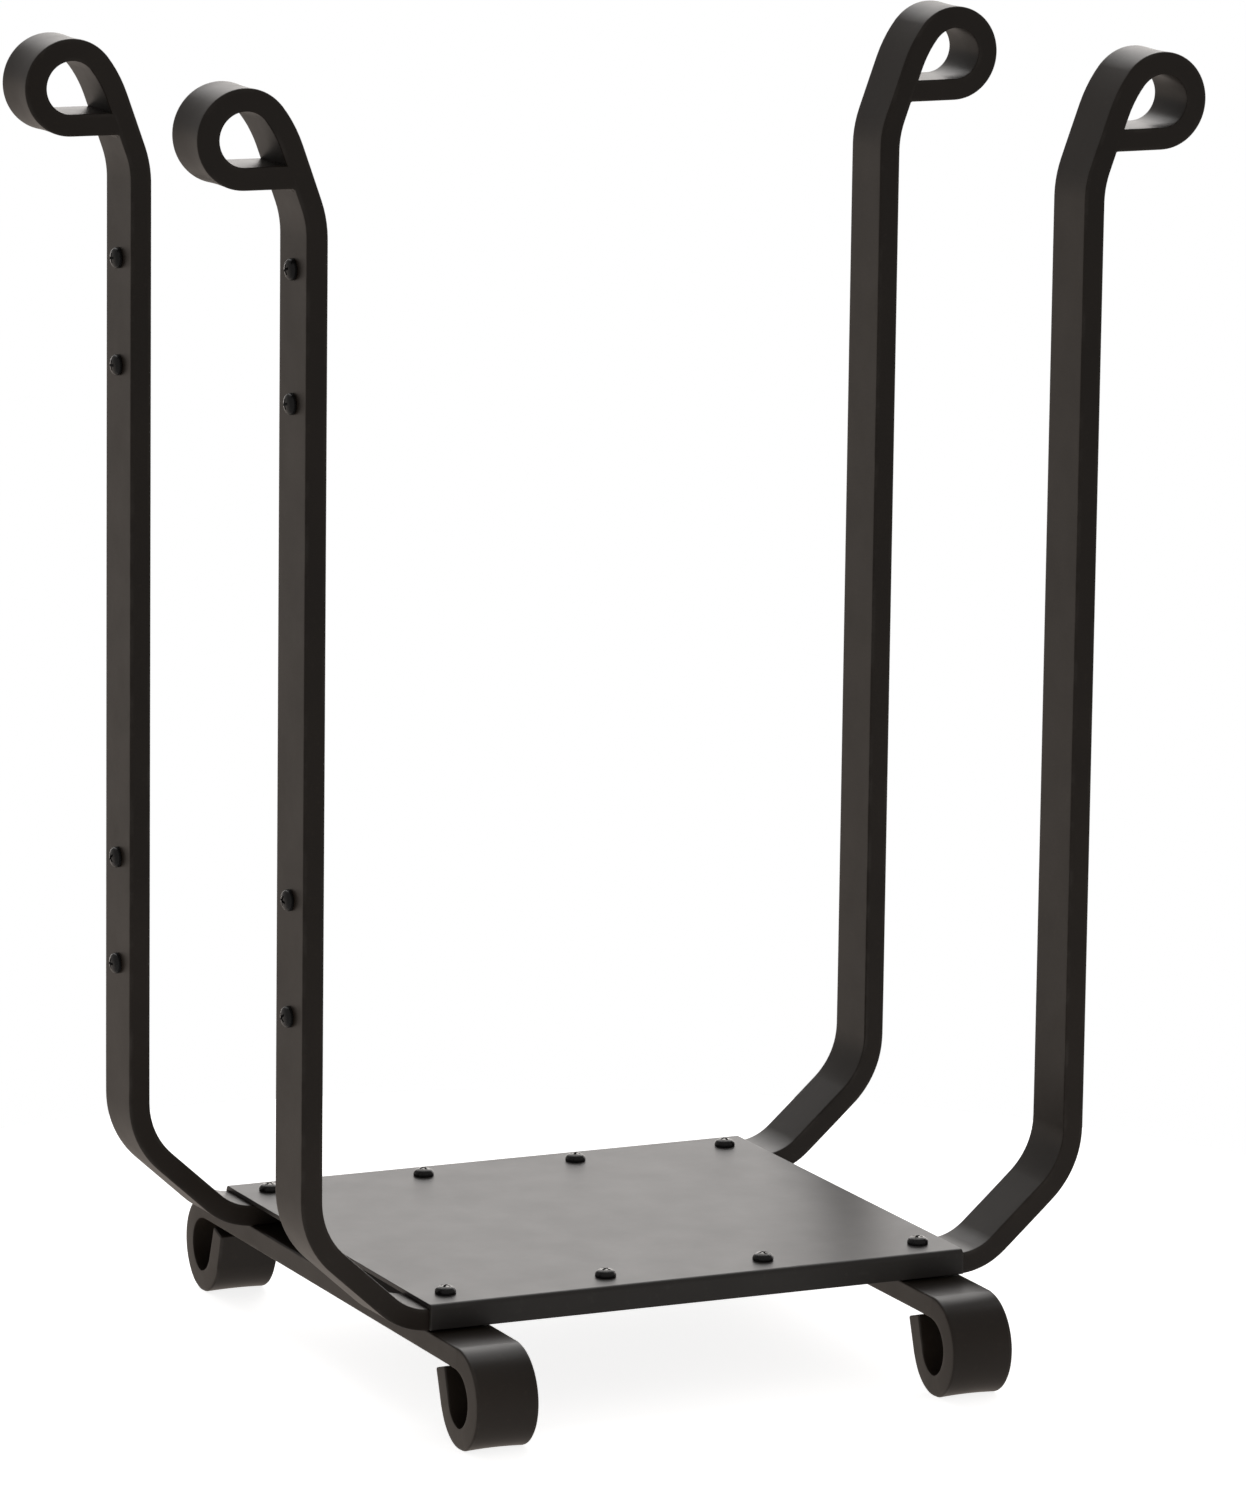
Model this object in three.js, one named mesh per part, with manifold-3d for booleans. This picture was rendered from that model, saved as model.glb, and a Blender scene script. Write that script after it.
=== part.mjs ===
// Firewood log rack: a flanged log plate screwed onto two bent U-frames,
// which stand on two foot bars whose ends curl down into feet.
// Millimetres, +Z up. The front of the rack faces -Y.
// Origin: on the floor, under the middle of the rack.

import * as THREE from 'three';
import { mergeVertices } from 'three/addons/utils/BufferGeometryUtils.js';
import Module from 'manifold-3d';

const wasm = await Module();
wasm.setup();

// ---- driving dimensions ----

const GAP = 0.3;                    // clearance between neighbouring pieces
const BAR_T = 12.5;                 // thickness of every bar, in the plane that it is bent in
const U_BAR_W = 38;                 // width of the U-frame bar
const FOOT_BAR_W = 38;              // width of the foot bar
const EDGE = 1.2;                   // bevel along the edges of the bars
const ARC_STEP = 12;                // degrees of bend per facet

const PLATE_W = 330;
const PLATE_D = 297;
const PLATE_T = 2.5;
const FLANGE_DEPTH = 14.5;          // from the plate's top to the flange's lower edge
const PLATE_TOP_Z = 72.2;           // above the floor

// U-frame
const UPRIGHT_FACE_X = 241.5;       // outer face of the uprights
const LOWER_BEND_X = 164.2;         // where the bar starts to bend, just inside the plate's edge
const LOWER_BEND = { radius: 36.5, turn: 42 };
const CORNER_BEND = { radius: 48.25, turn: 48 };
const UPRIGHT_TOP_Z = 594.4;        // above the plate, where the upright starts to lean out
const LEAN_BEND = { radius: 53, turn: 20 };
const LEAN_LENGTH = 32.8;
const SWEEP_BEND = { radius: 70, turn: 18 };
const SCROLL_BEND = { radius: 21.25, turn: 232 };
const SCROLL_SPLIT = 168;           // degrees of the scroll made with the main length of bar
const TAIL_OVERLAP = 2.5;           // how far the scroll's tail enters the upright at its weld
const WELD_LEG = 5;

// foot bar: three bends of growing tightness, then a short straight tip
const FOOT_BENDS = [
  { radius: 23, turn: 150 },
  { radius: 14, turn: 41 },
  { radius: 21.4, turn: 62 },
];
const FOOT_BEND_START = 33.7;       // beyond the plate's edge
const FOOT_TIP_LENGTH = 21;

// M6 pan-head cross-recess screws
const SCREW_D = 6;
const HEAD_D = 12;
const HEAD_H = 4.6;
const RECESS_W = 1.5;
const RECESS_L = 6.6;
const RECESS_DEPTH = 2.4;
const SCREW_SIDES = 12;
const PLATE_SCREW_X = [-146.7, -48.9, 48.9, 146.7];
const SCREW_BITE = 9;               // length of thread in the last piece
const SEAT_SPARE = 0.4;             // the spot face under a head is this much wider all round
const HOLE_SPARE = 0.8;             // a blind hole goes this much deeper than its screw

// accessory screws in the left uprights, heights above the plate
const FRONT_SIDE_SCREW_Z = [165, 230, 503, 576];
const BACK_SIDE_SCREW_Z = [143, 205, 489, 550];

// ---- worked out from them ----

const U_TOP_Z = PLATE_TOP_Z - PLATE_T - GAP;
const U_MID_Z = U_TOP_Z - BAR_T / 2;
const FOOT_TOP_Z = U_TOP_Z - BAR_T - GAP;
const U_BAR_Y = PLATE_D / 2 - PLATE_T - GAP - U_BAR_W / 2;
const FOOT_X = PLATE_W / 2 - FOOT_BAR_W / 2;
const UPRIGHT_X = UPRIGHT_FACE_X - BAR_T / 2;

const COLOURS = {
  paint: { color: 0x2e2b29, roughness: 0.45, metalness: 0.3 },
  plate: { color: 0x353231, roughness: 0.4, metalness: 0.3 },
  screw: { color: 0x151414, roughness: 0.25, metalness: 0.6 },
};

// ---- helpers ----

const rad = (degrees) => (degrees * Math.PI) / 180;

// A path of straights and bends in a plane. A heading of 0 runs along +u and a
// positive turn goes anticlockwise. Each point keeps the heading of the path there.
function walk(start, heading, moves) {
  let [u, v] = start;
  let h = rad(heading);
  const points = [{ u, v, h }];
  for (const move of moves) {
    if (move.length !== undefined) {
      u += move.length * Math.cos(h);
      v += move.length * Math.sin(h);
      points.push({ u, v, h });
      continue;
    }
    const side = Math.sign(move.turn);
    const steps = Math.max(2, Math.round(Math.abs(move.turn) / ARC_STEP));
    const centreU = u - side * move.radius * Math.sin(h);
    const centreV = v + side * move.radius * Math.cos(h);
    for (let i = 1; i <= steps; i += 1) {
      const a = h + (rad(move.turn) * i) / steps;
      u = centreU + side * move.radius * Math.sin(a);
      v = centreV - side * move.radius * Math.cos(a);
      points.push({ u, v, h: a });
    }
    h += rad(move.turn);
  }
  return points;
}

// Flat bar bent along a path: an outline half the bar's thickness to each side.
function barOutline(path) {
  const left = [];
  const right = [];
  for (const { u, v, h } of path) {
    const du = (-Math.sin(h) * BAR_T) / 2;
    const dv = (Math.cos(h) * BAR_T) / 2;
    left.push(new THREE.Vector2(u + du, v + dv));
    right.push(new THREE.Vector2(u - du, v - dv));
  }
  return left.concat(right.reverse());
}

// The outline pushed to a given width, centred on the outline's plane.
function slab(points, width, bevel) {
  const geometry = new THREE.ExtrudeGeometry(new THREE.Shape(points), {
    depth: width - 2 * bevel,
    steps: 1,
    bevelEnabled: bevel > 0,
    bevelThickness: bevel,
    bevelSize: bevel,
    bevelOffset: -bevel,
    bevelSegments: 1,
  });
  geometry.translate(0, 0, bevel - width / 2);
  return geometry;
}

// An outline drawn in X and Z, made solid along Y.
function slabAlongY(points, width, bevel) {
  return slab(points, width, bevel).rotateX(Math.PI / 2);
}

// An outline drawn in Y and Z, made solid along X.
function slabAlongX(points, width, bevel) {
  return slab(points, width, bevel).rotateX(Math.PI / 2).rotateZ(Math.PI / 2);
}

function solid(geometry) {
  const bare = geometry.clone();
  bare.deleteAttribute('normal');
  bare.deleteAttribute('uv');
  const merged = mergeVertices(bare, 1e-4);
  const vertProperties = new Float32Array(merged.attributes.position.array);
  const triVerts = new Uint32Array(merged.index.array);
  return new wasm.Manifold(new wasm.Mesh({ numProp: 3, vertProperties, triVerts }));
}

function toGeometry(manifold) {
  const mesh = manifold.getMesh();
  const geometry = new THREE.BufferGeometry();
  geometry.setAttribute('position', new THREE.BufferAttribute(mesh.vertProperties, 3));
  geometry.setIndex(new THREE.BufferAttribute(mesh.triVerts, 1));
  geometry.computeVertexNormals();
  return geometry;
}

function part(name, manifold, look) {
  const mesh = new THREE.Mesh(toGeometry(manifold), new THREE.MeshStandardMaterial(look));
  mesh.name = name;
  return mesh;
}

// A round cutter from z = top down to z = bottom.
function cutter(radius, top, bottom) {
  const length = top - bottom;
  const cylinder = new THREE.CylinderGeometry(radius, radius, length, SCREW_SIDES);
  cylinder.rotateX(Math.PI / 2);
  cylinder.translate(0, 0, bottom + length / 2);
  return solid(cylinder);
}

// A clearance hole for a screw's shank, through the surface at z = 0 and down to z = bottom.
function shankHole(bottom) {
  return cutter(SCREW_D / 2 + GAP, 1, bottom);
}

// The same with a shallow spot face, which the head sits in.
function seatedHole(bottom) {
  return shankHole(bottom).add(cutter(HEAD_D / 2 + SEAT_SPARE, 1, -GAP));
}

// ---- U-frames ----

// Centreline of the right half, from the middle of the plate out and up.
function uFramePath(scrollTurn) {
  const cornerDrop = Math.sin(rad(CORNER_BEND.turn)) * CORNER_BEND.radius;
  const cornerRun = (1 - Math.cos(rad(CORNER_BEND.turn))) * CORNER_BEND.radius;
  const lowerRise = (1 - Math.cos(rad(LOWER_BEND.turn))) * LOWER_BEND.radius;
  const lowerRun = Math.sin(rad(LOWER_BEND.turn)) * LOWER_BEND.radius;
  const slopeRun = UPRIGHT_X - LOWER_BEND_X - lowerRun - cornerRun;
  const slope = slopeRun / Math.cos(rad(LOWER_BEND.turn));
  const slopeRise = slopeRun * Math.tan(rad(LOWER_BEND.turn));
  const uprightFoot = U_MID_Z + lowerRise + slopeRise + cornerDrop;
  return walk([0, U_MID_Z], 0, [
    { length: LOWER_BEND_X },
    { radius: LOWER_BEND.radius, turn: LOWER_BEND.turn },
    { length: slope },
    { radius: CORNER_BEND.radius, turn: CORNER_BEND.turn },
    { length: PLATE_TOP_Z + UPRIGHT_TOP_Z - uprightFoot },
    { radius: LEAN_BEND.radius, turn: -LEAN_BEND.turn },
    { length: LEAN_LENGTH },
    { radius: SWEEP_BEND.radius, turn: -SWEEP_BEND.turn },
    { radius: SCROLL_BEND.radius, turn: -scrollTurn },
  ]);
}

function mirrored(points) {
  return points.map((p) => new THREE.Vector2(-p.x, p.y)).reverse();
}

// The end of the scroll: the last of its bend and a straight tail, whose end
// runs into the leaning part of the upright where it is welded.
function scrollTail(side) {
  const whole = uFramePath(SCROLL_BEND.turn);
  const end = whole[whole.length - 1];
  const leanFootX = UPRIGHT_X + (1 - Math.cos(rad(LEAN_BEND.turn))) * LEAN_BEND.radius;
  const leanFootZ = PLATE_TOP_Z + UPRIGHT_TOP_Z + Math.sin(rad(LEAN_BEND.turn)) * LEAN_BEND.radius;
  const slope = Math.tan(rad(LEAN_BEND.turn));
  const barX = leanFootX + (end.v - leanFootZ) * slope;
  const faceX = barX + BAR_T / 2 / Math.cos(rad(LEAN_BEND.turn));
  const bend = uFramePath(SCROLL_SPLIT - 2 * ARC_STEP);
  const start = bend[bend.length - 1];
  const path = walk([start.u, start.v], (start.h * 180) / Math.PI, [
    { radius: SCROLL_BEND.radius, turn: SCROLL_SPLIT - 2 * ARC_STEP - SCROLL_BEND.turn },
    { length: end.u - faceX + TAIL_OVERLAP },
  ]);
  const underside = end.v - BAR_T / 2;
  const weldX = faceX - (BAR_T / 2) * slope;
  const weld = [
    new THREE.Vector2(weldX - TAIL_OVERLAP, underside + TAIL_OVERLAP),
    new THREE.Vector2(weldX - TAIL_OVERLAP, underside - WELD_LEG),
    new THREE.Vector2(weldX - WELD_LEG * slope, underside - WELD_LEG),
    new THREE.Vector2(weldX + WELD_LEG, underside),
    new THREE.Vector2(weldX + WELD_LEG, underside + TAIL_OVERLAP),
  ];
  const outlines = [
    { points: barOutline(path), width: U_BAR_W, bevel: EDGE },
    { points: weld, width: U_BAR_W - 2 * EDGE, bevel: 0 },
  ];
  return outlines.map(({ points, width, bevel }) => {
    const shape = side > 0 ? points : mirrored(points);
    return solid(slabAlongY(shape, width, bevel));
  });
}

function uFrame(name, y, sideScrewZ) {
  const right = uFramePath(SCROLL_SPLIT);
  const left = right.slice(1).reverse().map(({ u, v, h }) => ({ u: -u, v, h: -h }));
  let bar = solid(slabAlongY(barOutline(left.concat(right)), U_BAR_W, EDGE));
  for (const side of [-1, 1]) {
    for (const piece of scrollTail(side)) {
      bar = bar.add(piece);
    }
  }
  bar = bar.translate([0, y, 0]);
  PLATE_SCREW_X.forEach((x, i) => {
    const corner = i === 0 || i === PLATE_SCREW_X.length - 1;
    const depth = corner ? BAR_T + 1 : SCREW_BITE + HOLE_SPARE;
    bar = bar.subtract(shankHole(-depth).translate([x, y, U_TOP_Z]));
  });
  for (const z of sideScrewZ) {
    const hole = seatedHole(-SCREW_BITE - HOLE_SPARE).rotate([0, -90, 0]);
    bar = bar.subtract(hole.translate([-UPRIGHT_FACE_X, y, PLATE_TOP_Z + z]));
  }
  return part(name, bar, COLOURS.paint);
}

// ---- foot bars ----

function footBar(name, x) {
  const half = PLATE_D / 2 + FOOT_BEND_START;
  const bends = FOOT_BENDS.map(({ radius, turn }) => ({ radius, turn: -turn }));
  const front = walk([0, FOOT_TOP_Z - BAR_T / 2], 0, [
    { length: half },
    ...bends,
    { length: FOOT_TIP_LENGTH },
  ]);
  const back = front.slice(1).reverse().map(({ u, v, h }) => ({ u: -u, v, h: -h }));
  let bar = solid(slabAlongX(barOutline(back.concat(front)), FOOT_BAR_W, EDGE));
  bar = bar.translate([x, 0, 0]);
  const floor = new THREE.BoxGeometry(4 * FOOT_BAR_W, 2 * PLATE_D, 20);
  floor.translate(x, 0, -10);
  bar = bar.subtract(solid(floor));
  for (const y of [-U_BAR_Y, U_BAR_Y]) {
    const screwX = Math.sign(x) * PLATE_SCREW_X[3];
    const hole = shankHole(-SCREW_BITE - HOLE_SPARE);
    bar = bar.subtract(hole.translate([screwX, y, FOOT_TOP_Z]));
  }
  return part(name, bar, COLOURS.paint);
}

// ---- log plate ----

// A sheet with a flange turned down along its front and back edges.
function logPlate() {
  const half = PLATE_D / 2;
  const inside = half - PLATE_T;
  const bottom = PLATE_TOP_Z - FLANGE_DEPTH;
  const underside = PLATE_TOP_Z - PLATE_T;
  const bend = PLATE_T * (1 - Math.SQRT1_2);
  const section = [
    [-half, bottom],
    [-inside, bottom],
    [-inside, underside],
    [inside, underside],
    [inside, bottom],
    [half, bottom],
    [half, PLATE_TOP_Z - PLATE_T],
    [half - bend, PLATE_TOP_Z - bend],
    [half - PLATE_T, PLATE_TOP_Z],
    [-half + PLATE_T, PLATE_TOP_Z],
    [-half + bend, PLATE_TOP_Z - bend],
    [-half, PLATE_TOP_Z - PLATE_T],
  ];
  const points = section.map(([y, z]) => new THREE.Vector2(y, z));
  let plate = solid(slabAlongX(points, PLATE_W, 0));
  for (const x of PLATE_SCREW_X) {
    for (const y of [-U_BAR_Y, U_BAR_Y]) {
      plate = plate.subtract(seatedHole(-PLATE_T - 1).translate([x, y, PLATE_TOP_Z]));
    }
  }
  return part('log_plate', plate, COLOURS.plate);
}

// ---- screws ----

// A pan-head screw standing at the origin: the head above z = 0, the shank below.
function screwSolid(shank) {
  const profile = [
    [0, -shank],
    [SCREW_D / 2, -shank],
    [SCREW_D / 2, 0],
    [HEAD_D / 2, 0],
    [HEAD_D / 2, 0.3 * HEAD_H],
    [0.86 * HEAD_D / 2, 0.76 * HEAD_H],
    [0.5 * HEAD_D / 2, HEAD_H],
    [0, HEAD_H],
  ];
  const points = profile.map(([r, z]) => new THREE.Vector2(r, z));
  const turned = new THREE.LatheGeometry(points, SCREW_SIDES).rotateX(Math.PI / 2);
  let screw = solid(turned);
  for (const turn of [0, Math.PI / 2]) {
    const slot = new THREE.BoxGeometry(RECESS_L, RECESS_W, 2 * RECESS_DEPTH);
    slot.rotateZ(turn);
    slot.translate(0, 0, HEAD_H);
    screw = screw.subtract(solid(slot));
  }
  return screw;
}

function plateScrew(name, x, y, corner) {
  const throughPlate = PLATE_T + GAP;
  const throughBar = corner ? BAR_T + GAP : 0;
  const screw = screwSolid(throughPlate + throughBar + SCREW_BITE);
  return part(name, screw.translate([x, y, PLATE_TOP_Z]), COLOURS.screw);
}

function sideScrew(name, y, z) {
  const screw = screwSolid(SCREW_BITE).rotate([0, -90, 0]);
  const place = [-UPRIGHT_FACE_X, y, PLATE_TOP_Z + z];
  return part(name, screw.translate(place), COLOURS.screw);
}

// ---- assembly ----

const group = new THREE.Group();
group.name = 'firewood_log_rack';

group.add(uFrame('front_u_frame', -U_BAR_Y, FRONT_SIDE_SCREW_Z));
group.add(uFrame('back_u_frame', U_BAR_Y, BACK_SIDE_SCREW_Z));
group.add(footBar('left_foot_bar', -FOOT_X));
group.add(footBar('right_foot_bar', FOOT_X));
group.add(logPlate());

for (const [row, y] of [['front', -U_BAR_Y], ['back', U_BAR_Y]]) {
  PLATE_SCREW_X.forEach((x, i) => {
    const corner = i === 0 || i === PLATE_SCREW_X.length - 1;
    group.add(plateScrew(`plate_screw_${row}_${i + 1}`, x, y, corner));
  });
}

FRONT_SIDE_SCREW_Z.forEach((z, i) => {
  group.add(sideScrew(`side_screw_front_${i + 1}`, -U_BAR_Y, z));
});
BACK_SIDE_SCREW_Z.forEach((z, i) => {
  group.add(sideScrew(`side_screw_back_${i + 1}`, U_BAR_Y, z));
});

export default group;
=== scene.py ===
"""Firewood log rack: the visual model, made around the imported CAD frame.

Metres, +Z up, the front of the rack towards -Y. Every steel piece of the CAD model is
drawn again at the same place and size, with rounded edges, true bends, threads and
recesses, and painted with procedural materials.
"""

import math
import random

import bmesh
import bpy
from mathutils import Matrix, Vector, noise


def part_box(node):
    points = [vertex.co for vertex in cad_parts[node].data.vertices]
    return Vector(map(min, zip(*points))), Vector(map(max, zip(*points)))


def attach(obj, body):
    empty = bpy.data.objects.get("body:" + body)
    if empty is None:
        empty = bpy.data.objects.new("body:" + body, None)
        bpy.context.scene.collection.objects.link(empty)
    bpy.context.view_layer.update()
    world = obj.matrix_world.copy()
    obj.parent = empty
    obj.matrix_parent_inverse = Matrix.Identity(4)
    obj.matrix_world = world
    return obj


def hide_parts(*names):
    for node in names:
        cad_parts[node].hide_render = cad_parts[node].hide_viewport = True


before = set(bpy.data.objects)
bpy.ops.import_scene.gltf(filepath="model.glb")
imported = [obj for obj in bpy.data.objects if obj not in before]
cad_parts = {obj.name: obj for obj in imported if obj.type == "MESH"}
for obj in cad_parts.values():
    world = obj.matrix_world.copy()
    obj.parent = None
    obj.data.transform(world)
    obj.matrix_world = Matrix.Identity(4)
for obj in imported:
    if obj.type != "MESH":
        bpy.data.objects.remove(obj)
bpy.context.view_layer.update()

MM = 0.001

# ---- sizes in metres: bends and screws as in the CAD model, then the finer ones ----

BAR_T = 12.5 * MM
BAR_EDGE = 1.1 * MM              # radius along the edges of the bars
PLATE_T = 2.5 * MM
PLATE_BEND = 1.50 * MM           # radius of the flange bend, at the middle of the sheet
PLATE_EDGE = 0.35 * MM

LOWER_BEND = (36.5 * MM, 42)     # radius and degrees, here and below
CORNER_BEND = (48.25 * MM, 48)
LEAN_BEND = (53 * MM, 20)
LEAN_LENGTH = 32.8 * MM
SWEEP_BEND = (70 * MM, 18)
SCROLL_BEND = (21.25 * MM, 232)
LOWER_BEND_INSET = 0.8 * MM      # the lower bend starts this far inside the plate's edge

FOOT_BENDS = ((23 * MM, 150), (14 * MM, 41), (21.4 * MM, 62))
FOOT_BEND_START = 33.7 * MM      # beyond the plate's edge
FOOT_TIP = 21 * MM

SCREW_R = 3.0 * MM
THREAD_DEPTH = 0.5 * MM
THREAD_PITCH = 1.0 * MM
HEAD_R = 6.0 * MM
HEAD_H = 4.6 * MM
CROWN_R = 4.5 * MM               # where the domed top turns down into the side of the head
CROWN_BALL = 9.5 * MM            # radius of the dome
WORN_R = 4.6 * MM                # the driver has rubbed the top of the head out to here
SCREW_CLEARANCE = 0.3 * MM
HOLE_R = SCREW_R + SCREW_CLEARANCE
BLIND_HOLE = 9.8 * MM            # depth of the screw holes that end inside a bar
HOLE_RUN_OUT = 5 * MM            # the tapped holes go on this far past the middle screws' tips

WELD_LEG = 2.6 * MM
WELD_ROOT = 0.5 * MM             # how far the weld reaches into the bars behind it
WELD_SETBACK = 1.2 * MM          # from each edge of the bar to the weld's end
WELD_TILT = math.radians(35)     # the way that the weld's face is hollowed
WELD_STEPS = 44
WELD_ARC_STEPS = 8

FLOOR_R = 0.62
FLOOR_DROP = 0.05 * MM           # just below the feet, so that the two don't flicker

STRAIGHT_STEP = 12 * MM
BEND_STEP = 4                    # degrees
WIDTH_STRAIN = 0.12              # how much a bend spreads its inner edge, narrowing its outer one
DISHING = 0.024                  # how far a bend's middle sinks towards its centre, per curvature

CORNER_STEPS = 4                 # facets on a rounded corner
SCREW_SEGMENTS = 48
SEED = 7


# ---- paths and bent bars ----

def walk(start, heading, moves):
    """Points (u, v, heading, curvature) along straights and bends in a plane.

    A move is a length, or a pair of radius and signed degrees, anticlockwise positive.
    """
    u, v = start
    h = math.radians(heading)
    points = [(u, v, h, 0.0)]
    for move in moves:
        if not isinstance(move, tuple):
            steps = max(1, math.ceil(move / STRAIGHT_STEP))
            for i in range(1, steps + 1):
                d = move * i / steps
                points.append((u + d * math.cos(h), v + d * math.sin(h), h, 0.0))
            u, v = points[-1][:2]
            continue
        radius, turn = move
        side = math.copysign(1, turn)
        steps = max(2, math.ceil(abs(turn) / BEND_STEP))
        cu = u - side * radius * math.sin(h)
        cv = v + side * radius * math.cos(h)
        for i in range(1, steps + 1):
            a = h + math.radians(turn) * i / steps
            u = cu + side * radius * math.sin(a)
            v = cv - side * radius * math.cos(a)
            points.append((u, v, a, side / radius))
        h += math.radians(turn)
    return points


def mirrored_path(half):
    """The whole of a path whose right half is given, from the left end to the right end."""
    left = [(-u, v, -h, k) for u, v, h, k in reversed(half[1:])]
    return left + half


def smooth_curvature(path, passes=3):
    """Curvatures eased over their neighbours, so that widths change gradually."""
    ks = [p[3] for p in path]
    for _ in range(passes):
        padded = [ks[0], *ks, ks[-1]]
        ks = [(padded[i] + 2 * k + padded[i + 2]) / 4 for i, k in enumerate(ks)]
    return ks


def section(thickness, width, radius, inset, cuts):
    """A rounded rectangle as (across, along, edge) points; edge is 1 on its corners.

    across goes through the bar's thickness and along goes over its width. cuts is how
    many extra points lie on each long side, the first and last of them near the corners.
    """
    a = thickness / 2 - inset
    b = width / 2 - inset
    r = max(radius - inset, 0.15 * radius)
    near_a = 0.7 * (a - r)
    near_b = b - r - min(1.2 * MM, 0.3 * b)
    ring = []
    for quarter, (sa, sb) in enumerate(((1, 1), (1, -1), (-1, -1), (-1, 1))):
        for i in range(CORNER_STEPS + 1):
            t = math.pi / 2 * (1 - quarter - i / CORNER_STEPS)
            ring.append((sa * (a - r) + r * math.cos(t), sb * (b - r) + r * math.sin(t), 1.0))
        if quarter % 2 == 0:
            for i in range(cuts):
                ring.append((sa * a, sa * near_b * (1 - 2 * i / (cuts - 1)), 0.0))
        else:
            for f in (1, -1):
                ring.append((-sb * near_a * f, sb * b, 0.0))
    return ring


def bent_bar(
    name, path, thickness, width, radius, place,
    cuts=9, dish=DISHING, round_ends=True, end_fit=None,
):
    """A mesh of flat bar or sheet that follows a path.

    place(u, v, w) gives the point in the row frame; w is the distance over the width.
    end_fit(v) gives the u that the last ring is cut to, mirrored at the first ring.
    """
    stations = [(u, v, h, k, 0.0) for (u, v, h, _), k in zip(path, smooth_curvature(path))]
    if round_ends:
        ends = []
        for s in range(CORNER_STEPS + 1):
            t = math.pi / 2 * s / CORNER_STEPS
            ends.append((radius * (math.sin(t) - 1), 0.85 * radius * (1 - math.cos(t))))
        u, v, h = path[-1][:3]
        tail = [(u + d * math.cos(h), v + d * math.sin(h), h, 0.0, c) for d, c in ends]
        u, v, h = path[0][:3]
        nose = [(u - d * math.cos(h), v - d * math.sin(h), h, 0.0, c) for d, c in reversed(ends)]
        stations = nose + stations[1:-1] + tail
    bm = bmesh.new()
    edge_layer = bm.verts.layers.float.new("edge")
    rings = []
    for k, (u, v, h, kappa, inset) in enumerate(stations):
        ring = []
        for across, along, edge in section(thickness, width, radius, inset, cuts):
            spread = min(abs(along), 1.4 * thickness) * WIDTH_STRAIN * kappa * across
            w = along + spread * math.copysign(1, along)
            sunk = across + dish * kappa * max(0.0, width ** 2 / 4 - along ** 2)
            pu = u - sunk * math.sin(h)
            pv = v + sunk * math.cos(h)
            if end_fit and k == len(stations) - 1:
                pu = end_fit(pv)
            if end_fit and k == 0:
                pu = -end_fit(pv)
            vert = bm.verts.new(place(pu, pv, w))
            vert[edge_layer] = max(edge, 1.0 if inset > 0 else 0.0)
            ring.append(vert)
        rings.append(ring)
    loft(bm, rings)
    bm.faces.new(rings[0])
    bm.faces.new(rings[-1])
    bmesh.ops.recalc_face_normals(bm, faces=bm.faces)
    return new_piece(name, bm)


# ---- mesh helpers ----

def loft(bm, rings):
    """Four-sided faces between each ring of vertices and the next."""
    count = len(rings[0])
    for first, second in zip(rings, rings[1:]):
        for j in range(count):
            k = (j + 1) % count
            bm.faces.new((first[j], first[k], second[k], second[j]))


def placed(name, data):
    """A scene object that shows a mesh, a lamp or a camera."""
    piece = bpy.data.objects.new(name, data)
    bpy.context.scene.collection.objects.link(piece)
    return piece


def new_piece(name, bm):
    """A scene object made from a bmesh, which is freed."""
    mesh = bpy.data.meshes.new(name)
    bm.to_mesh(mesh)
    bm.free()
    return placed(name, mesh)


def bake_modifiers(piece):
    """The piece's mesh with its modifiers applied."""
    graph = bpy.context.evaluated_depsgraph_get()
    evaluated = piece.evaluated_get(graph)
    mesh = bpy.data.meshes.new_from_object(evaluated, depsgraph=graph)
    piece.modifiers.clear()
    piece.data = mesh


def cut(piece, cutters):
    """The piece with the cutters' shapes taken out; the cutters are used up."""
    for cutter in cutters:
        modifier = piece.modifiers.new("cut", "BOOLEAN")
        modifier.operation = "DIFFERENCE"
        modifier.solver = "EXACT"
        modifier.object = cutter
    bake_modifiers(piece)
    for cutter in cutters:
        bpy.data.objects.remove(cutter)


def keep_inside(piece, node):
    """No vertex of the piece is left outside its CAD node's box."""
    low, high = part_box(node)
    for vert in piece.data.vertices:
        for axis in range(3):
            vert.co[axis] = min(max(vert.co[axis], low[axis]), high[axis])


def shade(piece, angle=40):
    """Smooth shading whose flat faces stay flat."""
    piece.data.shade_smooth()
    piece.data.set_sharp_from_angle(angle=math.radians(angle))
    modifier = piece.modifiers.new("normals", "WEIGHTED_NORMAL")
    modifier.keep_sharp = True
    modifier.weight = 100
    bake_modifiers(piece)


def drill(at, axis, depth):
    """A round cutter from just outside the surface at a point, along an axis into it."""
    bm = bmesh.new()
    bmesh.ops.create_cone(
        bm, cap_ends=True, segments=40, radius1=HOLE_R, radius2=HOLE_R, depth=depth + MM,
    )
    turn = Vector((0, 0, 1)).rotation_difference(Vector(axis)).to_matrix().to_4x4()
    middle = Vector(at) + Vector(axis) * (depth - MM) / 2
    bm.transform(Matrix.Translation(middle) @ turn)
    return new_piece("cutter", bm)


# ---- materials ----

RUBBED_PAINT = (0.060, 0.053, 0.047)
SCREW_BLACK = (0.010, 0.010, 0.0105)
BARE_STEEL = (0.78, 0.76, 0.73)


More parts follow.
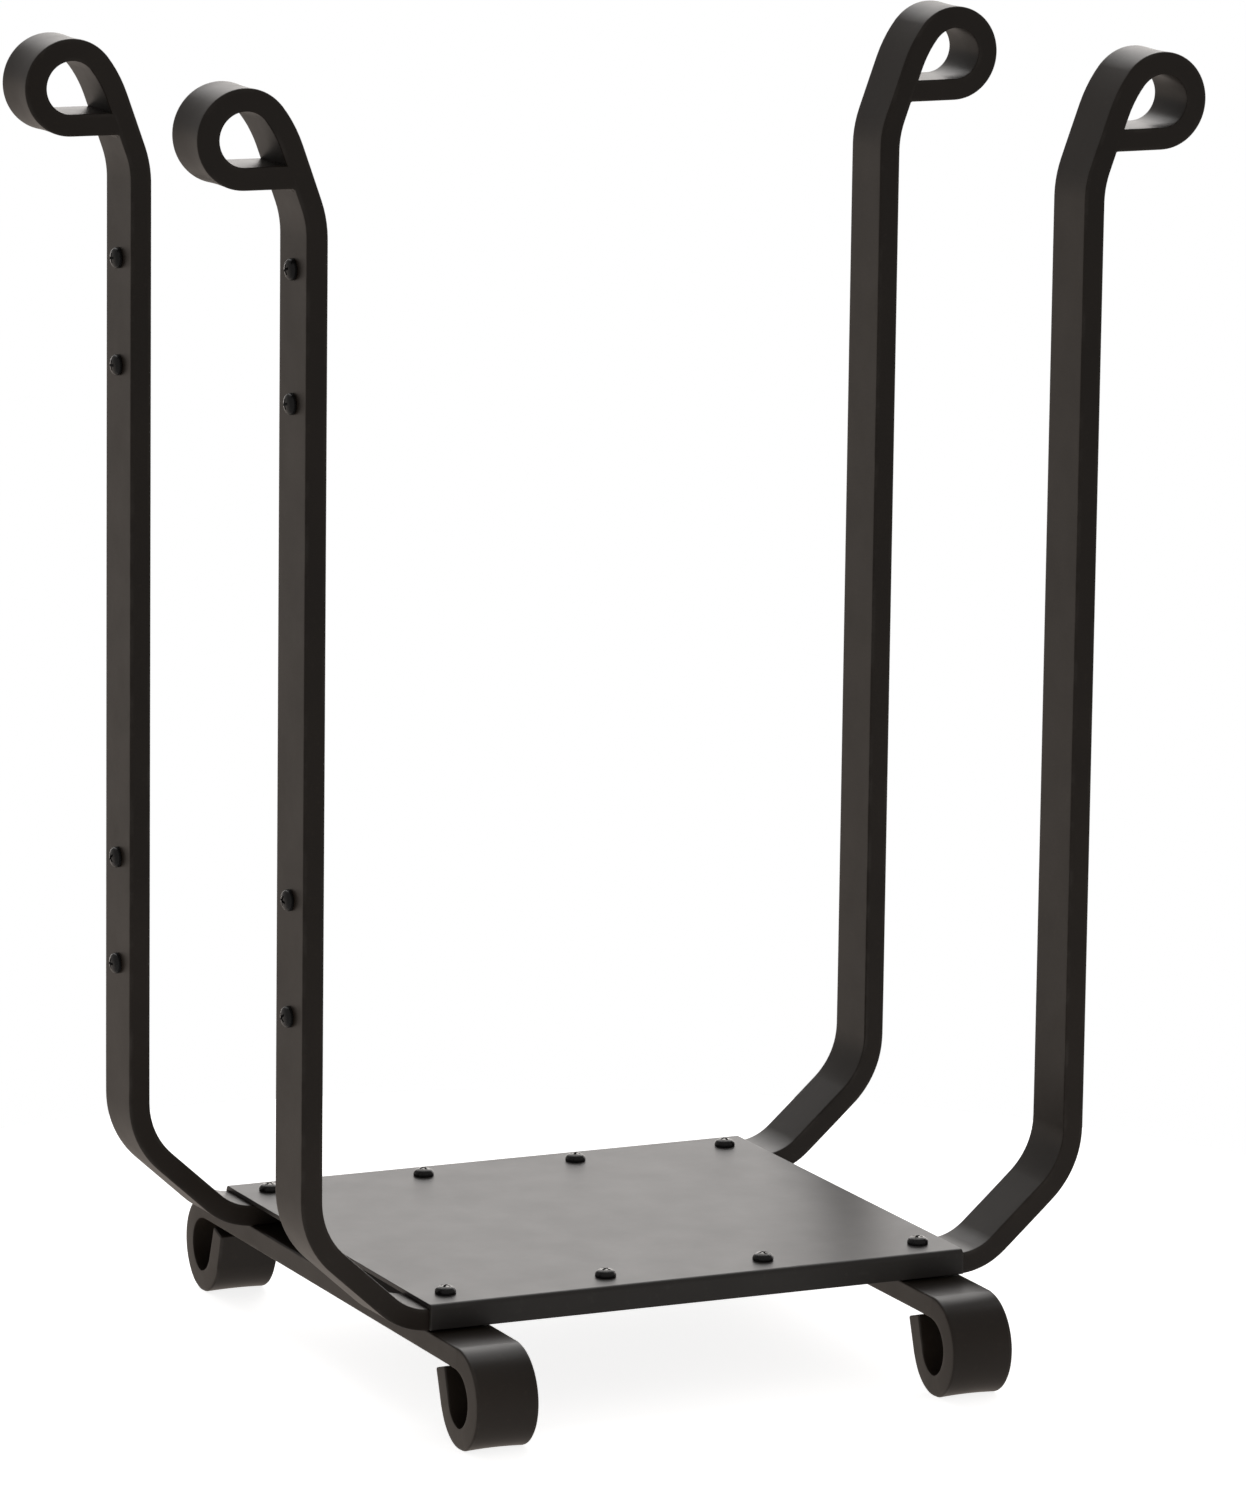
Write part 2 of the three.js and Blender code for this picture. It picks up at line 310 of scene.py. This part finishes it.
class Nodes:
    """Short forms for making the nodes of a material or of the surroundings."""

    def __init__(self, tree, coordinates):
        self.tree = tree
        self.place = tree.nodes.new("ShaderNodeTexCoord").outputs[coordinates]

    def link(self, source, target):
        self.tree.links.new(source, target)

    def noise(self, scale, detail=3.0, roughness=0.5):
        node = self.tree.nodes.new("ShaderNodeTexNoise")
        node.inputs["Scale"].default_value = scale
        node.inputs["Detail"].default_value = detail
        node.inputs["Roughness"].default_value = roughness
        self.link(self.place, node.inputs["Vector"])
        return node.outputs["Fac"]

    def spread(self, value, low, high, to_low=0.0, to_high=1.0, interpolation="LINEAR"):
        node = self.tree.nodes.new("ShaderNodeMapRange")
        node.interpolation_type = interpolation
        node.inputs["From Min"].default_value = low
        node.inputs["From Max"].default_value = high
        node.inputs["To Min"].default_value = to_low
        node.inputs["To Max"].default_value = to_high
        self.link(value, node.inputs["Value"])
        return node.outputs["Result"]

    def math(self, operation, *values):
        node = self.tree.nodes.new("ShaderNodeMath")
        node.operation = operation
        for i, value in enumerate(values):
            if isinstance(value, (int, float)):
                node.inputs[i].default_value = value
            else:
                self.link(value, node.inputs[i])
        return node.outputs["Value"]

    def mix(self, factor, first, second):
        node = self.tree.nodes.new("ShaderNodeMix")
        node.data_type = "RGBA"
        self.link(factor, node.inputs["Factor"])
        for key, colour in (("A", first), ("B", second)):
            socket = [s for s in node.inputs if s.name == key and s.type == "RGBA"][0]
            if isinstance(colour, tuple):
                socket.default_value = (*colour, 1.0)
            else:
                self.link(colour, socket)
        return [s for s in node.outputs if s.type == "RGBA"][0]

    def attribute(self, name):
        node = self.tree.nodes.new("ShaderNodeAttribute")
        node.attribute_name = name
        return node.outputs["Fac"]

    def lobe(self, direction, low, high, to_high):
        """A soft patch of surroundings around a direction, from 0 outside to to_high inside."""
        dot = self.tree.nodes.new("ShaderNodeVectorMath")
        dot.operation = "DOT_PRODUCT"
        dot.inputs[1].default_value = Vector(direction).normalized()
        self.link(self.place, dot.inputs[0])
        return self.spread(dot.outputs["Value"], low, high, 0.0, to_high, "SMOOTHSTEP")

    def background(self, colour, strength=None):
        node = self.tree.nodes.new("ShaderNodeBackground")
        node.inputs["Color"].default_value = (*colour, 1.0)
        if strength is not None:
            self.link(strength, node.inputs["Strength"])
        return node.outputs[0]


class Paint(Nodes):
    """A new material, with its nodes."""

    def __init__(self, name):
        self.material = bpy.data.materials.new(name)
        self.material.use_nodes = True
        super().__init__(self.material.node_tree, "Object")
        self.shader = self.tree.nodes["Principled BSDF"]

    def bump(self, layers):
        """Bump from (height, distance) layers, added one on the other."""
        normal = None
        for height, distance in layers:
            node = self.tree.nodes.new("ShaderNodeBump")
            node.inputs["Distance"].default_value = distance
            self.link(height, node.inputs["Height"])
            if normal is not None:
                self.link(normal, node.inputs["Normal"])
            normal = node.outputs["Normal"]
        self.link(normal, self.shader.inputs["Normal"])


def satin_paint(name, base, light, rough, patchy, ior, peel, forge):
    """Satin black paint over steel: soft colour patches, orange peel, rubbed edges.

    patchy is how far the roughness wanders. peel and forge are the heights of the
    paint's fine grain and of the steel's slow unevenness.
    """
    n = Paint(name)
    patches = n.spread(n.noise(14, 4), 0.35, 0.68)
    specks = n.spread(n.noise(260, 2), 0.62, 0.74)
    rub = n.math("MULTIPLY", n.attribute("edge"), n.spread(n.noise(55, 4), 0.46, 0.66))
    colour = n.mix(patches, base, light)
    colour = n.mix(n.math("MULTIPLY", specks, 0.35), colour, tuple(1.5 * c for c in light))
    colour = n.mix(n.math("MULTIPLY", rub, 0.3), colour, RUBBED_PAINT)
    n.link(colour, n.shader.inputs["Base Color"])
    roughness = n.spread(n.noise(30, 5, 0.6), 0.3, 0.7, rough - patchy, rough + patchy)
    roughness = n.math("SUBTRACT", roughness, n.math("MULTIPLY", rub, 0.06))
    n.link(roughness, n.shader.inputs["Roughness"])
    n.shader.inputs["IOR"].default_value = ior
    n.bump([(n.noise(38, 3), forge), (n.noise(900, 2), peel)])
    return n.material


def screw_finish(name, wear):
    """Glossy black screws, with bright metal where the driver rubbed the recess."""
    n = Paint(name)
    worn = n.spread(n.noise(700, 3), 0.30, 0.46)
    rub = n.math("MULTIPLY", n.attribute("edge"), n.math("MULTIPLY", worn, wear))
    colour = n.mix(rub, SCREW_BLACK, BARE_STEEL)
    n.link(colour, n.shader.inputs["Base Color"])
    n.link(rub, n.shader.inputs["Metallic"])
    n.link(n.spread(n.noise(420, 3), 0.3, 0.7, 0.20, 0.32), n.shader.inputs["Roughness"])
    n.shader.inputs["IOR"].default_value = 1.44
    n.bump([(n.noise(1500, 2), 0.008 * MM)])
    return n.material


BAR_PAINT = satin_paint(
    "bar_paint", (0.0150, 0.0108, 0.0078), (0.0205, 0.0150, 0.0110),
    rough=0.36, patchy=0.04, ior=1.43, peel=0.010 * MM, forge=0.05 * MM,
)
PLATE_PAINT = satin_paint(
    "plate_paint", (0.0170, 0.0148, 0.0130), (0.0225, 0.0200, 0.0178),
    rough=0.40, patchy=0.02, ior=1.52, peel=0.008 * MM, forge=0.02 * MM,
)
PLATE_SCREW_PAINT = screw_finish("plate_screw_black", 1.0)
SIDE_SCREW_PAINT = screw_finish("side_screw_black", 0.08)


def finish_piece(piece, material, slot, *nodes):
    piece.data.materials.clear()
    piece.data.materials.append(material)
    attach(piece, "root")
    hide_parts(*nodes)


# ---- places, from the CAD frame ----

plate_low, plate_high = (Vector(c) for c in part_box("log_plate"))
plate_half_w = (plate_high.x - plate_low.x) / 2
plate_half_d = (plate_high.y - plate_low.y) / 2


def centre_of(node):
    low, high = (Vector(c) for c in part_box(node))
    return (low + high) / 2


# ---- U-frames ----

def bend_run(bend):
    radius, turn = bend
    return radius * math.sin(math.radians(turn)), radius * (1 - math.cos(math.radians(turn)))


def scroll_shape():
    """The path above the upright, from its top at (0, 0), leaning out towards +u."""
    return walk((0, 0), 90, [
        (LEAN_BEND[0], -LEAN_BEND[1]),
        LEAN_LENGTH,
        (SWEEP_BEND[0], -SWEEP_BEND[1]),
        (SCROLL_BEND[0], -SCROLL_BEND[1]),
    ])


def u_frame(node):
    name = f"{node}_steel"
    low, high = (Vector(c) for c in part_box(node))
    y = (low.y + high.y) / 2
    width = high.y - low.y
    mid_z = low.z + BAR_T / 2
    scroll = scroll_shape()
    top_of_scroll = max(v + BAR_T / 2 * abs(math.cos(h)) for u, v, h, _ in scroll)
    reach = max(u + BAR_T / 2 * abs(math.sin(h)) for u, v, h, _ in scroll)
    upright_x = high.x - reach
    upright_top = high.z - top_of_scroll
    lower_run, lower_rise = bend_run(LOWER_BEND)
    corner_rise, corner_run = bend_run(CORNER_BEND)
    bend_x = plate_half_w - LOWER_BEND_INSET
    slope_angle = math.radians(LOWER_BEND[1])
    slope_run = upright_x - bend_x - lower_run - corner_run
    slope_rise = slope_run * math.tan(slope_angle)
    upright_foot = mid_z + lower_rise + slope_rise + corner_rise

    lean = math.radians(LEAN_BEND[1])
    lean_rise, lean_run = bend_run(LEAN_BEND)
    lean_face = BAR_T / 2 / math.cos(lean)

    def upright_face(z):
        """Where the leaning part's outer face is, at a height."""
        return upright_x + lean_run + (z - upright_top - lean_rise) * math.tan(lean) + lean_face

    tail_z = upright_top + scroll[-1][1]
    tail = upright_x + scroll[-1][0] - upright_face(tail_z)
    half = walk((0, mid_z), 0, [
        bend_x,
        LOWER_BEND,
        slope_run / math.cos(slope_angle),
        CORNER_BEND,
        upright_top - upright_foot,
        (LEAN_BEND[0], -LEAN_BEND[1]),
        LEAN_LENGTH,
        (SWEEP_BEND[0], -SWEEP_BEND[1]),
        (SCROLL_BEND[0], -SCROLL_BEND[1]),
        tail,
    ])
    bar = bent_bar(
        name, mirrored_path(half), BAR_T, width, BAR_EDGE,
        lambda u, v, w: (u, y + w, v),
        round_ends=False,
        end_fit=lambda z: upright_face(z) - 0.95 * BAR_EDGE,
    )
    keep_inside(bar, node)
    holes = []
    row = "front" if y < 0 else "back"
    for i in range(1, 5):
        screw = f"plate_screw_{row}_{i}"
        at = centre_of(screw)
        goes_through = i in (1, 4)
        depth = BAR_T if goes_through else at.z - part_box(screw)[0][2] + HOLE_RUN_OUT
        holes.append(drill((at.x, y, low.z + BAR_T), (0, 0, -1), depth + MM))
    for i in range(1, 5):
        at = centre_of(f"side_screw_{row}_{i}")
        holes.append(drill((-upright_x - BAR_T / 2, y, at.z), (1, 0, 0), BLIND_HOLE))
    cut(bar, holes)
    shade(bar)
    finish_piece(bar, BAR_PAINT, "painted_bar", node)

    for side in (-1, 1):
        label = "left" if side < 0 else "right"
        weld = weld_bead(f"{name}_{label}_weld", side, y, width, upright_face, tail_z)
        finish_piece(weld, BAR_PAINT, "painted_bar", node)


def weld_bead(name, side, y, width, upright_face, tail_z):
    """The fillet of weld under the scroll's tail, where it meets the upright."""
    under = tail_z - BAR_T / 2
    corner_u = upright_face(under)
    rng = random.Random(SEED + (1 if side > 0 else 0) + (2 if y > 0 else 0))
    shift = rng.uniform(0, 50)
    bm = bmesh.new()
    edge_layer = bm.verts.layers.float.new("edge")
    rings = []
    half = width / 2 - WELD_SETBACK
    for k in range(WELD_STEPS + 1):
        f = k / WELD_STEPS
        w = -half + 2 * half * f
        ends = min(1.0, 5.5 * min(f, 1 - f) + 0.35)
        ripple = 0.07 * math.sin(26 * math.pi * f) + 0.18 * noise.noise((f * 7, shift, 0))
        leg = WELD_LEG * ends * (1 + ripple)
        low_u = upright_face(under - leg)
        ring = [(corner_u - WELD_ROOT, under + WELD_ROOT), (low_u - WELD_ROOT, under - leg)]
        for i in range(WELD_ARC_STEPS + 1):
            t = i / WELD_ARC_STEPS
            hollow = 0.126 * leg * math.sin(math.pi * t)
            pu = low_u * (1 - t) + (corner_u + leg) * t - math.cos(WELD_TILT) * hollow
            pv = under - leg * (1 - t) + hollow
            ring.append((pu, pv))
        ring.append((corner_u + leg, under + WELD_ROOT))
        rings.append([bm.verts.new((side * pu, y + w, pv)) for pu, pv in ring])
    loft(bm, rings)
    bm.faces.new(rings[0])
    bm.faces.new(rings[-1])
    for vert in bm.verts:
        vert[edge_layer] = 0.3
    bmesh.ops.recalc_face_normals(bm, faces=bm.faces)
    weld = new_piece(name, bm)
    shade(weld, 60)
    return weld


# ---- foot bars ----

def foot_bar(node):
    low, high = (Vector(c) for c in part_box(node))
    x = (low.x + high.x) / 2
    bends = [(radius, -turn) for radius, turn in FOOT_BENDS]
    top = high.z
    half = walk((0, top - BAR_T / 2), 0, [plate_half_d + FOOT_BEND_START, *bends, FOOT_TIP])
    bar = bent_bar(
        f"{node}_steel", mirrored_path(half), BAR_T, high.x - low.x, BAR_EDGE,
        lambda u, v, w: (x + w, u, v),
    )
    keep_inside(bar, node)
    number = 1 if x < 0 else 4
    holes = []
    for row in ("front", "back"):
        at = centre_of(f"plate_screw_{row}_{number}")
        holes.append(drill((at.x, at.y, top), (0, 0, -1), BLIND_HOLE))
    cut(bar, holes)
    shade(bar)
    finish_piece(bar, BAR_PAINT, "painted_bar", node)


# ---- log plate ----

def log_plate(node):
    flange = plate_high.z - plate_low.z - PLATE_T / 2 - PLATE_BEND
    start = (-plate_half_d + PLATE_T / 2, plate_low.z)
    path = walk(start, 90, [
        flange,
        (PLATE_BEND, -90),
        2 * (plate_half_d - PLATE_T / 2 - PLATE_BEND),
        (PLATE_BEND, -90),
        flange,
    ])
    plate = bent_bar(
        f"{node}_steel", path, PLATE_T, plate_high.x - plate_low.x, PLATE_EDGE,
        lambda u, v, w: (w, u, v),
        cuts=34, dish=0.0,
    )
    keep_inside(plate, node)
    holes = []
    for row in ("front", "back"):
        for i in range(1, 5):
            at = centre_of(f"plate_screw_{row}_{i}")
            holes.append(drill((at.x, at.y, plate_high.z), (0, 0, -1), PLATE_T + MM))
    cut(plate, holes)
    shade(plate, 30)
    finish_piece(plate, PLATE_PAINT, "painted_plate", node)


# ---- screws ----

def head_profile():
    """Radius and height of a pan head, from its underside's edge to the middle of its top."""
    points = [(HEAD_R - 0.25 * MM, 0.0), (HEAD_R, 0.25 * MM)]
    rim = math.asin(CROWN_R / CROWN_BALL)
    corner = (HEAD_R - CROWN_R) / (1 - math.sin(rim))
    crown_drop = CROWN_BALL * (1 - math.cos(rim))
    for i in range(9):
        t = math.pi / 2 + (rim - math.pi / 2) * i / 8
        r = HEAD_R - corner * (1 - math.sin(t))
        points.append((r, HEAD_H - crown_drop - corner * (math.cos(rim) - math.cos(t))))
    for i in range(1, 6):
        r = CROWN_R * (1 - i / 6)
        points.append((r, HEAD_H - CROWN_BALL + math.sqrt(CROWN_BALL ** 2 - r ** 2)))
    return points


def turned_screw(shank):
    """A screw at the origin, head above z = 0, with a thread cut round its shank."""
    bm = bmesh.new()
    edge_layer = bm.verts.layers.float.new("edge")

    def round_ring(z, radius):
        """A ring of vertices; radius(j) is the j-th one's distance from the axis."""
        ring = []
        for j in range(SCREW_SEGMENTS):
            a = 2 * math.pi * j / SCREW_SEGMENTS
            ring.append(bm.verts.new((radius(j) * math.cos(a), radius(j) * math.sin(a), z)))
        return ring

    rings = []
    steps = int(shank / THREAD_PITCH * 5)
    for k in range(steps + 1):
        z = -shank * (1 - k / steps)
        taper = min(1.0, (z + shank) / (0.8 * MM))
        depth = 0.0 if z > -0.8 * MM else THREAD_DEPTH

        def thread(j):
            phase = (z / THREAD_PITCH + j / SCREW_SEGMENTS) % 1.0
            return (SCREW_R - depth * (1 - abs(2 * phase - 1))) * (0.78 + 0.22 * taper)

        rings.append(round_ring(z, thread))
    for r, z in head_profile():
        ring = round_ring(z, lambda j: r)
        on_top = z > HEAD_H - 1.5 * MM
        for vert in ring:
            vert[edge_layer] = max(0.0, 1 - r / WORN_R) if on_top else 0.0
        rings.append(ring)
    loft(bm, rings)
    for ring, z, wear in ((rings[0], -shank, 0.0), (rings[-1], HEAD_H, 1.0)):
        tip = bm.verts.new((0, 0, z))
        tip[edge_layer] = wear
        for j in range(SCREW_SEGMENTS):
            bm.faces.new((ring[j], ring[(j + 1) % SCREW_SEGMENTS], tip))
    bmesh.ops.recalc_face_normals(bm, faces=bm.faces)
    return new_piece("screw", bm)


def recess_cutter(turn):
    """One tapered wing pair of the cross recess."""
    bm = bmesh.new()
    edge_layer = bm.verts.layers.float.new("edge")
    top = HEAD_H + 0.6 * MM
    bottom = HEAD_H - 2.9 * MM
    rings = []
    for z, half_l, half_w in ((bottom, 1.15 * MM, 0.42 * MM), (top, 3.75 * MM, 0.78 * MM)):
        corners = ((-1, -1), (1, -1), (1, 1), (-1, 1))
        rings.append([bm.verts.new((half_l * sx, half_w * sy, z)) for sx, sy in corners])
    loft(bm, rings)
    bm.faces.new(rings[0])
    bm.faces.new(rings[1])
    for vert in bm.verts:
        vert[edge_layer] = 1.0
    bmesh.ops.recalc_face_normals(bm, faces=bm.faces)
    bm.transform(Matrix.Rotation(turn, 4, "Z"))
    return new_piece("cutter", bm)


def finished_screw(shank):
    screw = turned_screw(shank)
    cut(screw, [recess_cutter(0.0), recess_cutter(math.pi / 2)])
    shade(screw, 35)
    return screw


def screws():
    """A finished screw at each of the sixteen CAD screws, each turned its own way."""
    rng = random.Random(SEED)
    nodes = sorted(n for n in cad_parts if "_screw_" in n)
    masters = {}
    for node in nodes:
        low, high = (Vector(c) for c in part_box(node))
        middle = (low + high) / 2
        on_side = node.startswith("side")
        length = (high.x - low.x) if on_side else (high.z - low.z)
        key = round(length / MM, 1)
        if key not in masters:
            masters[key] = finished_screw(length - HEAD_H)
        mesh = masters[key].data.copy()
        spin = Matrix.Rotation(rng.uniform(0, math.pi / 2), 4, "Z")
        if on_side:
            seat = Matrix.Translation((low.x + HEAD_H, middle.y, middle.z))
            seat = seat @ Matrix.Rotation(-math.pi / 2, 4, "Y")
        else:
            seat = Matrix.Translation((middle.x, middle.y, high.z - HEAD_H))
        mesh.transform(seat @ spin)
        piece = placed(f"{node}_steel", mesh)
        finish_piece(piece, SIDE_SCREW_PAINT if on_side else PLATE_SCREW_PAINT, "screws", node)
    for master in masters.values():
        bpy.data.objects.remove(master)


# ---- floor, light and camera ----

def floor():
    """A plain pale disc, wider than the rack's footprint. The steel doesn't reflect it."""
    bm = bmesh.new()
    bmesh.ops.create_circle(bm, cap_ends=True, segments=96, radius=FLOOR_R)
    bmesh.ops.translate(bm, verts=bm.verts, vec=(0, 0, -FLOOR_DROP))
    sheet = new_piece("floor", bm)
    n = Paint("floor_paper")
    paper = n.mix(n.noise(3, 2), (0.86, 0.86, 0.86), (0.88, 0.88, 0.88))
    n.link(paper, n.shader.inputs["Base Color"])
    n.link(paper, n.shader.inputs["Emission Color"])
    n.shader.inputs["Emission Strength"].default_value = 0.95
    n.shader.inputs["Roughness"].default_value = 0.9
    sheet.data.materials.append(n.material)
    sheet.visible_glossy = False


def studio():
    """A bright backdrop behind the rack to the right, and dimmer, warmer light from below.

    The camera sees white instead. One broad lamp shines from above and behind.
    """
    world = bpy.data.worlds.new("studio")
    bpy.context.scene.world = world
    world.use_nodes = True
    world.node_tree.nodes.clear()
    n = Nodes(world.node_tree, "Generated")

    backdrop = n.lobe((0.60, 0.80, 0), 0.67, 0.93, 1.0)
    above_the_floor = n.lobe((0, 0, 1), -0.30, -0.05, 1.0)
    below_the_ceiling = n.lobe((0, 0, -1), -0.97, -0.62, 1.55)
    backdrop = n.math("MULTIPLY", n.math("MULTIPLY", backdrop, above_the_floor), below_the_ceiling)
    ground = n.math("MULTIPLY", n.lobe((0, 1, 0), -0.2, 0.8, 0.22), n.lobe((0, 0, -1), -0.10, 0.15, 1.0))

    room = n.tree.nodes.new("ShaderNodeAddShader")
    n.link(n.background((1.0, 0.96, 0.928), n.math("ADD", backdrop, 0.30)), room.inputs[0])
    n.link(n.background((1.0, 0.80, 0.64), ground), room.inputs[1])
    pick = n.tree.nodes.new("ShaderNodeMixShader")
    path = n.tree.nodes.new("ShaderNodeLightPath")
    n.link(path.outputs["Is Camera Ray"], pick.inputs["Fac"])
    n.link(room.outputs[0], pick.inputs[1])
    n.link(n.background((1.0, 1.0, 1.0)), pick.inputs[2])
    out = n.tree.nodes.new("ShaderNodeOutputWorld")
    n.link(pick.outputs[0], out.inputs["Surface"])

    sun = bpy.data.lights.new("overhead", "SUN")
    sun.energy = 0.8
    sun.angle = math.radians(60)
    lamp = placed("overhead", sun)
    lamp.rotation_euler = Vector((0.25, 0.6, 0.75)).to_track_quat("Z", "Y").to_euler()


def camera():
    """A long lens in front of the rack, 25 degrees to its left and 11 degrees above it."""
    azimuth = math.radians(25.2)
    elevation = math.radians(11.0)
    roll = 0.0132
    position = (-1.9892, -4.2788, 1.2629)
    forward = Vector((
        math.sin(azimuth) * math.cos(elevation),
        math.cos(azimuth) * math.cos(elevation),
        -math.sin(elevation),
    ))
    level = Vector((math.cos(azimuth), -math.sin(azimuth), 0))
    up = level.cross(forward)
    turned_right = math.cos(roll) * level + math.sin(roll) * up
    turned_up = math.cos(roll) * up - math.sin(roll) * level
    axes = Matrix((turned_right, turned_up, -forward)).transposed()
    data = bpy.data.cameras.new("camera")
    data.lens = 202.9
    data.sensor_width = 36
    data.shift_x = -0.0076
    data.clip_end = 100
    eye = placed("camera", data)
    eye.matrix_world = Matrix.Translation(position) @ axes.to_4x4()
    bpy.context.scene.camera = eye


# ---- the scene ----

u_frame("front_u_frame")
u_frame("back_u_frame")
foot_bar("left_foot_bar")
foot_bar("right_foot_bar")
log_plate("log_plate")
screws()
floor()
studio()
camera()
bpy.context.scene.view_settings.view_transform = "Standard"
